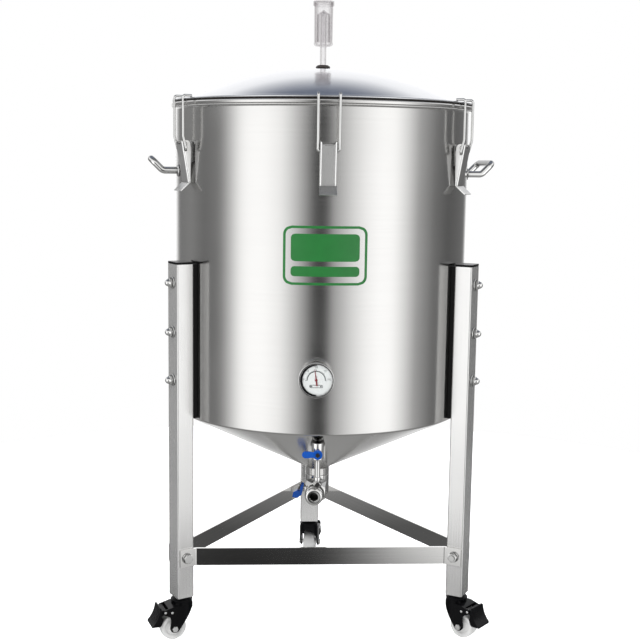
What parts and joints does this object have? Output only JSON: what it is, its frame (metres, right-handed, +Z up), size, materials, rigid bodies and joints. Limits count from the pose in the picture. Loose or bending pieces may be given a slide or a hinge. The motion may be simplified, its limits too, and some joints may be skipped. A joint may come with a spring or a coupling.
{
  "type": "conical fermenter",
  "caption": "Domed steel tank with a coned bottom, latched lid, airlock, dial thermometer, two small ball valves and a braced stand on casters.",
  "frame": {"origin": "on the floor, at the middle of the object's bounding box; the tank's axis is vertical, 24.0 mm in front of it", "axes": "+Z up; -Y is the front, where the thermometer and both valves are; +X is to the right seen from the front"},
  "size_m": [0.5372, 0.542, 0.9627],
  "materials": {
    "brushed_steel": "satin, fine circumferential grain",
    "polished_steel": "polished stainless",
    "zinc_plate": "bright zinc plate",
    "black_plastic": "satin moulded",
    "black_paint": "gloss black paint",
    "white_nylon": "satin moulded",
    "blue_vinyl": "dipped vinyl",
    "dark_silicone": "matte",
    "clear_plastic": "clear moulded",
    "dial_white": "matte white",
    "needle_red": "satin red"
  },
  "bodies": {
    "root": {"tank": "brushed_steel", "lid": "polished_steel", "lid_gasket": "dark_silicone", "airlock_grommet": "dark_silicone", "carry_handle_left": "polished_steel", "carry_handle_right": "polished_steel", "latch_bracket_1": "polished_steel", "latch_bracket_2": "polished_steel", "latch_bracket_3": "polished_steel", "latch_bracket_4": "polished_steel", "latch_bracket_5": "polished_steel", "latch_bracket_6": "polished_steel", "leg_1": "brushed_steel", "leg_cap_1": "black_plastic", "leg_studs_1": "polished_steel", "brace_1": "brushed_steel", "brace_bolt_1": "zinc_plate", "leg_2": "brushed_steel", "leg_cap_2": "black_plastic", "leg_studs_2": "polished_steel", "brace_2": "brushed_steel", "brace_bolt_2": "zinc_plate", "leg_3": "brushed_steel", "leg_cap_3": "black_plastic", "leg_studs_3": "polished_steel", "brace_3": "brushed_steel", "brace_bolt_3": "zinc_plate", "thermometer_case": "polished_steel", "thermometer_dial": "dial_white", "racking_valve_body": "polished_steel", "dump_valve_body": "polished_steel"},
    "airlock_body": {"airlock_body": "clear_plastic"},
    "airlock_float": {"airlock_float": "clear_plastic"},
    "airlock_cap": {"airlock_cap": "clear_plastic"},
    "latch_lever_1": {"latch_lever_1": "polished_steel"},
    "latch_bail_1": {"latch_bail_1": "polished_steel"},
    "latch_lever_2": {"latch_lever_2": "polished_steel"},
    "latch_bail_2": {"latch_bail_2": "polished_steel"},
    "latch_lever_3": {"latch_lever_3": "polished_steel"},
    "latch_bail_3": {"latch_bail_3": "polished_steel"},
    "latch_lever_4": {"latch_lever_4": "polished_steel"},
    "latch_bail_4": {"latch_bail_4": "polished_steel"},
    "latch_lever_5": {"latch_lever_5": "polished_steel"},
    "latch_bail_5": {"latch_bail_5": "polished_steel"},
    "latch_lever_6": {"latch_lever_6": "polished_steel"},
    "latch_bail_6": {"latch_bail_6": "polished_steel"},
    "caster_fork_1": {"caster_fork_1": "black_paint"},
    "caster_wheel_1": {"caster_wheel_1": "white_nylon"},
    "caster_brake_1": {"caster_brake_1": "black_plastic"},
    "caster_fork_2": {"caster_fork_2": "black_paint"},
    "caster_wheel_2": {"caster_wheel_2": "white_nylon"},
    "caster_brake_2": {"caster_brake_2": "black_plastic"},
    "caster_fork_3": {"caster_fork_3": "black_paint"},
    "caster_wheel_3": {"caster_wheel_3": "white_nylon"},
    "caster_brake_3": {"caster_brake_3": "black_plastic"},
    "thermometer_needle": {"thermometer_needle": "needle_red"},
    "racking_valve_handle": {"racking_valve_handle": "blue_vinyl", "racking_valve_ball": "polished_steel"},
    "dump_valve_handle": {"dump_valve_handle": "blue_vinyl", "dump_valve_ball": "polished_steel"}
  },
  "joints": [
    {"name": "airlock_pull", "type": "slide", "parent": "root", "child": "airlock_body", "axis": [0, 0, 1], "range_m": [0, 0.03]},
    {"name": "airlock_float_rise", "type": "slide", "parent": "airlock_body", "child": "airlock_float", "axis": [0, 0, 1], "range_m": [0, 0.011]},
    {"name": "airlock_cap_lift", "type": "slide", "parent": "airlock_body", "child": "airlock_cap", "axis": [0, 0, 1], "range_m": [0, 0.02]},
    {"name": "latch_open_1", "type": "hinge", "parent": "root", "child": "latch_lever_1", "pos_m": [-0.00413, -0.26043, 0.743], "axis": [-0.9998, 0.0175, 0], "range_deg": [0, 140]},
    {"name": "latch_bail_swing_1", "type": "hinge", "parent": "latch_lever_1", "child": "latch_bail_1", "pos_m": [-0.00413, -0.26043, 0.7345], "axis": [-0.9998, 0.0175, 0], "range_deg": [-140, 0]},
    {"name": "latch_open_2", "type": "hinge", "parent": "root", "child": "latch_lever_2", "pos_m": [0.20056, -0.14929, 0.743], "axis": [-0.5299, -0.848, 0], "range_deg": [0, 140]},
    {"name": "latch_bail_swing_2", "type": "hinge", "parent": "latch_lever_2", "child": "latch_bail_2", "pos_m": [0.20056, -0.14929, 0.7345], "axis": [-0.5299, -0.848, 0], "range_deg": [-140, 0]},
    {"name": "latch_open_3", "type": "hinge", "parent": "root", "child": "latch_lever_3", "pos_m": [0.20685, 0.09069, 0.743], "axis": [0.4848, -0.8746, 0], "range_deg": [0, 140]},
    {"name": "latch_bail_swing_3", "type": "hinge", "parent": "latch_lever_3", "child": "latch_bail_3", "pos_m": [0.20685, 0.09069, 0.7345], "axis": [0.4848, -0.8746, 0], "range_deg": [-140, 0]},
    {"name": "latch_open_4", "type": "hinge", "parent": "root", "child": "latch_lever_4", "pos_m": [0.00413, 0.2125, 0.743], "axis": [0.9998, -0.0175, 0], "range_deg": [0, 140]},
    {"name": "latch_bail_swing_4", "type": "hinge", "parent": "latch_lever_4", "child": "latch_bail_4", "pos_m": [0.00413, 0.2125, 0.7345], "axis": [0.9998, -0.0175, 0], "range_deg": [-140, 0]},
    {"name": "latch_open_5", "type": "hinge", "parent": "root", "child": "latch_lever_5", "pos_m": [-0.20272, 0.09784, 0.743], "axis": [0.515, 0.8572, 0], "range_deg": [0, 140]},
    {"name": "latch_bail_swing_5", "type": "hinge", "parent": "latch_lever_5", "child": "latch_bail_5", "pos_m": [-0.20272, 0.09784, 0.7345], "axis": [0.515, 0.8572, 0], "range_deg": [-140, 0]},
    {"name": "latch_open_6", "type": "hinge", "parent": "root", "child": "latch_lever_6", "pos_m": [-0.20882, -0.13499, 0.743], "axis": [-0.4695, 0.8829, 0], "range_deg": [0, 140]},
    {"name": "latch_bail_swing_6", "type": "hinge", "parent": "latch_lever_6", "child": "latch_bail_6", "pos_m": [-0.20882, -0.13499, 0.7345], "axis": [-0.4695, 0.8829, 0], "range_deg": [-140, 0]},
    {"name": "caster_swivel_1", "type": "hinge", "parent": "root", "child": "caster_fork_1", "pos_m": [0, 0.21954, 0.066], "axis": [0, 0, 1], "continuous": true},
    {"name": "caster_roll_1", "type": "hinge", "parent": "caster_fork_1", "child": "caster_wheel_1", "pos_m": [0.00277, 0.23377, 0.0195], "axis": [0.9816, -0.1908, 0], "continuous": true},
    {"name": "caster_brake_1", "type": "hinge", "parent": "caster_fork_1", "child": "caster_brake_1", "pos_m": [0.00551, 0.24791, 0.0465], "axis": [0.9816, -0.1908, 0], "range_deg": [0, 15]},
    {"name": "caster_swivel_2", "type": "hinge", "parent": "root", "child": "caster_fork_2", "pos_m": [-0.21088, -0.14571, 0.066], "axis": [0, 0, 1], "continuous": true},
    {"name": "caster_roll_2", "type": "hinge", "parent": "caster_fork_2", "child": "caster_wheel_2", "pos_m": [-0.22459, -0.15043, 0.0195], "axis": [-0.3256, 0.9455, 0], "continuous": true},
    {"name": "caster_brake_2", "type": "hinge", "parent": "caster_fork_2", "child": "caster_brake_2", "pos_m": [-0.2382, -0.15512, 0.0465], "axis": [-0.3256, 0.9455, 0], "range_deg": [0, 15]},
    {"name": "caster_swivel_3", "type": "hinge", "parent": "root", "child": "caster_fork_3", "pos_m": [0.21088, -0.14571, 0.066], "axis": [0, 0, 1], "continuous": true},
    {"name": "caster_roll_3", "type": "hinge", "parent": "caster_fork_3", "child": "caster_wheel_3", "pos_m": [0.22182, -0.15523, 0.0195], "axis": [-0.6561, -0.7547, 0], "continuous": true},
    {"name": "caster_brake_3", "type": "hinge", "parent": "caster_fork_3", "child": "caster_brake_3", "pos_m": [0.23269, -0.16467, 0.0465], "axis": [-0.6561, -0.7547, 0], "range_deg": [0, 15]},
    {"name": "thermometer_reading", "type": "hinge", "parent": "root", "child": "thermometer_needle", "pos_m": [-0.01716, -0.26936, 0.421], "axis": [-0.0698, -0.9976, 0], "range_deg": [-120, 120]},
    {"name": "racking_valve_turn", "type": "hinge", "parent": "root", "child": "racking_valve_handle", "pos_m": [-0.01186, -0.23613, 0.3105], "axis": [-0.0558, -0.9984, 0], "range_deg": [0, 90]},
    {"name": "dump_valve_turn", "type": "hinge", "parent": "root", "child": "dump_valve_handle", "pos_m": [-0.00439, -0.05969, 0.2035], "axis": [-0.9709, 0.1192, 0.2079], "range_deg": [0, 90]}
  ],
  "couplings": [
    {"joint": "latch_bail_swing_1", "follows": "latch_open_1", "ratio": -1},
    {"joint": "latch_bail_swing_2", "follows": "latch_open_2", "ratio": -1},
    {"joint": "latch_bail_swing_3", "follows": "latch_open_3", "ratio": -1},
    {"joint": "latch_bail_swing_4", "follows": "latch_open_4", "ratio": -1},
    {"joint": "latch_bail_swing_5", "follows": "latch_open_5", "ratio": -1},
    {"joint": "latch_bail_swing_6", "follows": "latch_open_6", "ratio": -1}
  ]
}
